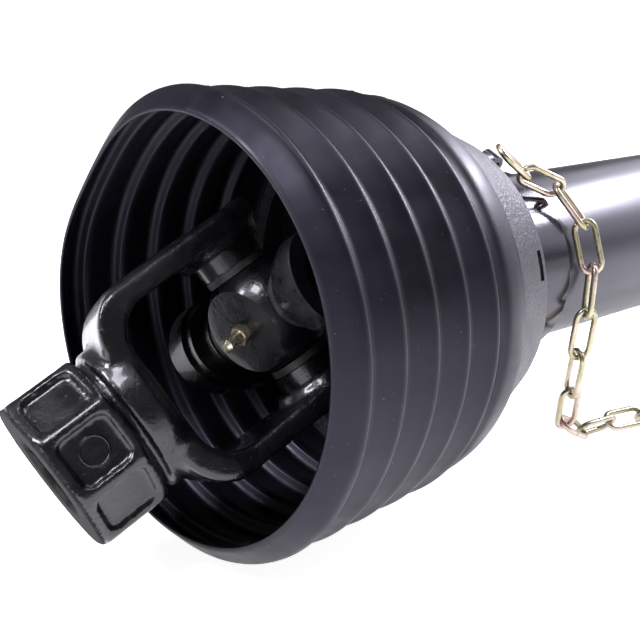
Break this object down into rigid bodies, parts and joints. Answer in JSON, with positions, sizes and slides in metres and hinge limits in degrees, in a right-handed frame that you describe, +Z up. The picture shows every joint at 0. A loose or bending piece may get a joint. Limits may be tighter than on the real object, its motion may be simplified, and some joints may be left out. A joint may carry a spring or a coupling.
{
  "type": "universal joint shaft",
  "caption": "Telescoping universal joint drive shaft with splined yokes, cross joints, ribbed bell guards, plastic guard tube and restraining chains.",
  "frame": {"origin": "middle of the closed shaft, on the surface that its guard cones rest on", "axes": "+X along the shaft from end A to end B, +Z up"},
  "size_m": [0.9366, 0.2024, 0.2024],
  "materials": {
    "forged_black": "gloss black paint over a rough forging",
    "tube_black": "drawn steel tube, thin black paint and grease",
    "spring_steel": "oiled spring steel",
    "zinc_steel": "yellow zinc plate",
    "chain_zinc": "pale yellow zinc plate, slightly dull",
    "seal_rubber": "smooth black rubber",
    "cone_rubber": "satin black flexible plastic",
    "collar_plastic": "sand-textured black plastic",
    "sleeve_plastic": "smooth gloss black plastic",
    "guard_plastic": "smooth satin black plastic tube",
    "nylon": "off-white bearing nylon"
  },
  "bodies": {
    "guard_a": {"rubber_cone_a": "cone_rubber", "collar_a": "collar_plastic", "collar_screws_a": "zinc_steel", "guard_ring_a": "nylon", "sleeve_a": "sleeve_plastic", "chain_lug_a": "sleeve_plastic", "chain_a": "chain_zinc", "chain_hook_a": "chain_zinc", "outer_guard_tube": "guard_plastic"},
    "drive_a": {"inner_yoke_a": "forged_black", "roll_pin_a": "spring_steel", "inner_caps_a": "forged_black", "inner_circlips_a": "forged_black", "outer_profile_tube": "tube_black"},
    "joint_cross_a": {"cross_a": "forged_black", "cross_seals_a": "seal_rubber", "grease_nipple_a": "zinc_steel"},
    "yoke_a": {"outer_yoke_a": "forged_black", "outer_caps_a": "forged_black", "outer_circlips_a": "forged_black", "lock_spring_a": "spring_steel", "lock_clip_a": "spring_steel"},
    "lock_a": {"lock_pin_a": "zinc_steel"},
    "guard_b": {"rubber_cone_b": "cone_rubber", "collar_b": "collar_plastic", "collar_screws_b": "zinc_steel", "guard_ring_b": "nylon", "sleeve_b": "sleeve_plastic", "chain_lug_b": "sleeve_plastic", "chain_b": "chain_zinc", "chain_hook_b": "chain_zinc", "inner_guard_tube": "guard_plastic"},
    "drive_b": {"inner_yoke_b": "forged_black", "roll_pin_b": "spring_steel", "inner_caps_b": "forged_black", "inner_circlips_b": "forged_black", "inner_profile_tube": "tube_black"},
    "joint_cross_b": {"cross_b": "forged_black", "cross_seals_b": "seal_rubber", "grease_nipple_b": "zinc_steel"},
    "yoke_b": {"outer_yoke_b": "forged_black", "outer_caps_b": "forged_black", "outer_circlips_b": "forged_black", "lock_spring_b": "spring_steel", "lock_clip_b": "spring_steel"},
    "lock_b": {"lock_pin_b": "zinc_steel"}
  },
  "joints": [
    {"name": "shaft_spin", "type": "hinge", "parent": "guard_a", "child": "drive_a", "pos_m": [0, 0, 0.1012], "axis": [1, 0, 0], "continuous": true},
    {"name": "telescope", "type": "slide", "parent": "drive_a", "child": "drive_b", "axis": [1, 0, 0], "range_m": [0, 0.18]},
    {"name": "guard_b_bearing", "type": "hinge", "parent": "drive_b", "child": "guard_b", "pos_m": [0.35, 0, 0.1012], "axis": [1, 0, 0], "continuous": true},
    {"name": "cross_a_tilt", "type": "hinge", "parent": "drive_a", "child": "joint_cross_a", "pos_m": [-0.35, 0, 0.1012], "axis": [0, -0.8526, 0.5225], "range_deg": [-45.1, 4.9]},
    {"name": "yoke_a_tilt", "type": "hinge", "parent": "joint_cross_a", "child": "yoke_a", "pos_m": [-0.35, 0, 0.1012], "axis": [-0.3437, 0.4907, 0.8007], "range_deg": [-1.6, 48.4]},
    {"name": "lock_a_press", "type": "slide", "parent": "yoke_a", "child": "lock_a", "axis": [-0.373, -0.8538, 0.3632], "range_m": [0, 0.01], "stiffness_N_per_m": 900, "springref_m": -0.012, "deforming": ["lock_spring_a"]},
    {"name": "cross_b_tilt", "type": "hinge", "parent": "drive_b", "child": "joint_cross_b", "pos_m": [0.35, 0, 0.1012], "axis": [0, 0.8526, -0.5225], "range_deg": [-45.1, 4.9]},
    {"name": "yoke_b_tilt", "type": "hinge", "parent": "joint_cross_b", "child": "yoke_b", "pos_m": [0.35, 0, 0.1012], "axis": [0.3437, 0.4907, 0.8007], "range_deg": [-48.4, 1.6]},
    {"name": "lock_b_press", "type": "slide", "parent": "yoke_b", "child": "lock_b", "axis": [-0.373, 0.8538, -0.3632], "range_m": [0, 0.01], "stiffness_N_per_m": 900, "springref_m": -0.012, "deforming": ["lock_spring_b"]}
  ],
  "couplings": [
    {"joint": "guard_b_bearing", "follows": "shaft_spin", "ratio": -1}
  ]
}
